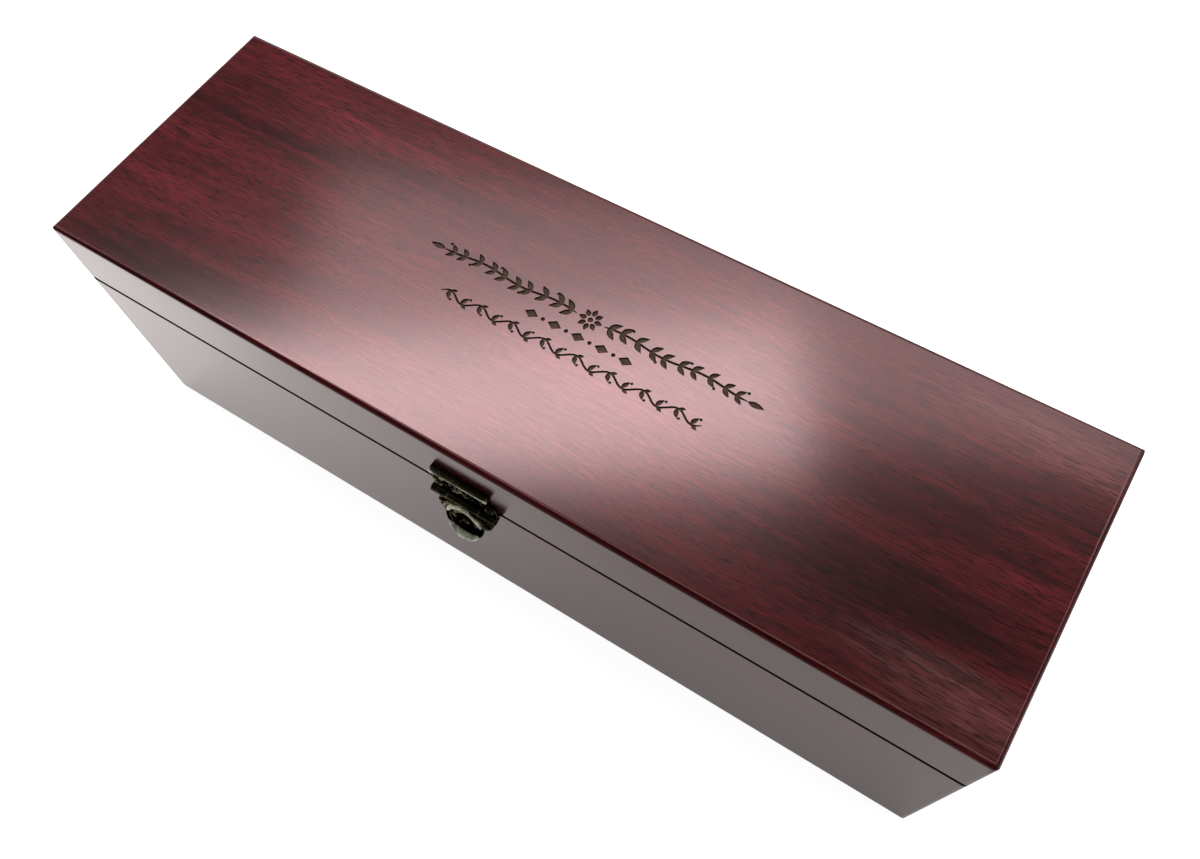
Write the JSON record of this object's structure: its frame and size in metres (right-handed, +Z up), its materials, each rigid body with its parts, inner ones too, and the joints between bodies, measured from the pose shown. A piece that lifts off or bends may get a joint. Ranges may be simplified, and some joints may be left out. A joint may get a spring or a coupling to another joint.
{
  "type": "wooden wine box",
  "caption": "Long lacquered wooden box for one wine bottle, with a hinged lid, padded bottle rests and a small ornate brass hasp latch.",
  "frame": {"origin": "middle of the flat underside of the case, on the surface it rests on", "axes": "+X along the box to the right as seen from the latch side, the latch side faces -Y, the hinges are at +Y, +Z up"},
  "size_m": [0.36, 0.1255, 0.11],
  "materials": {
    "veneered_wall": "satin lacquer over dark red rosewood veneer",
    "veneered_top": "satin lacquer over dark red rosewood veneer",
    "bottom_wood": "plain stained wood",
    "lining_cloth": "cloth-covered lining board",
    "padding": "cloth over padding",
    "hinge_brass": "plain brass",
    "antique_brass": "antique dark brass, worn bright on its edges"
  },
  "bodies": {
    "case": {"front_wall": "veneered_wall", "back_wall": "veneered_wall", "left_wall": "veneered_wall", "right_wall": "veneered_wall", "bottom_panel": "bottom_wood", "front_lining": "lining_cloth", "back_lining": "lining_cloth", "left_lining": "lining_cloth", "right_lining": "lining_cloth", "left_bed_pad": "padding", "middle_bed_pad": "padding", "right_bed_pad": "padding", "body_rest": "padding", "neck_rest": "padding", "left_hinge_case_leaf": "hinge_brass", "right_hinge_case_leaf": "hinge_brass", "left_hinge_pin": "hinge_brass", "right_hinge_pin": "hinge_brass", "hinge_screws_case": "hinge_brass", "latch_catch": "antique_brass", "latch_brads_case": "antique_brass"},
    "lid": {"top_panel": "veneered_top", "lid_front_rail": "veneered_wall", "lid_back_rail": "veneered_wall", "lid_left_rail": "veneered_wall", "lid_right_rail": "veneered_wall", "lid_pad": "padding", "left_hinge_lid_leaf": "hinge_brass", "right_hinge_lid_leaf": "hinge_brass", "hinge_screws_lid": "hinge_brass", "latch_plate": "antique_brass", "latch_pin": "antique_brass", "latch_brads_lid": "antique_brass"},
    "hasp": {"latch_hasp": "antique_brass"}
  },
  "joints": [
    {"name": "lid_open", "type": "hinge", "parent": "case", "child": "lid", "pos_m": [0, 0.0582, 0.08155], "axis": [-1, 0, 0], "range_deg": [0, 100]},
    {"name": "hasp_swing", "type": "hinge", "parent": "lid", "child": "hasp", "pos_m": [0, -0.0584, 0.07935], "axis": [-1, 0, 0], "range_deg": [-7, 150]}
  ]
}
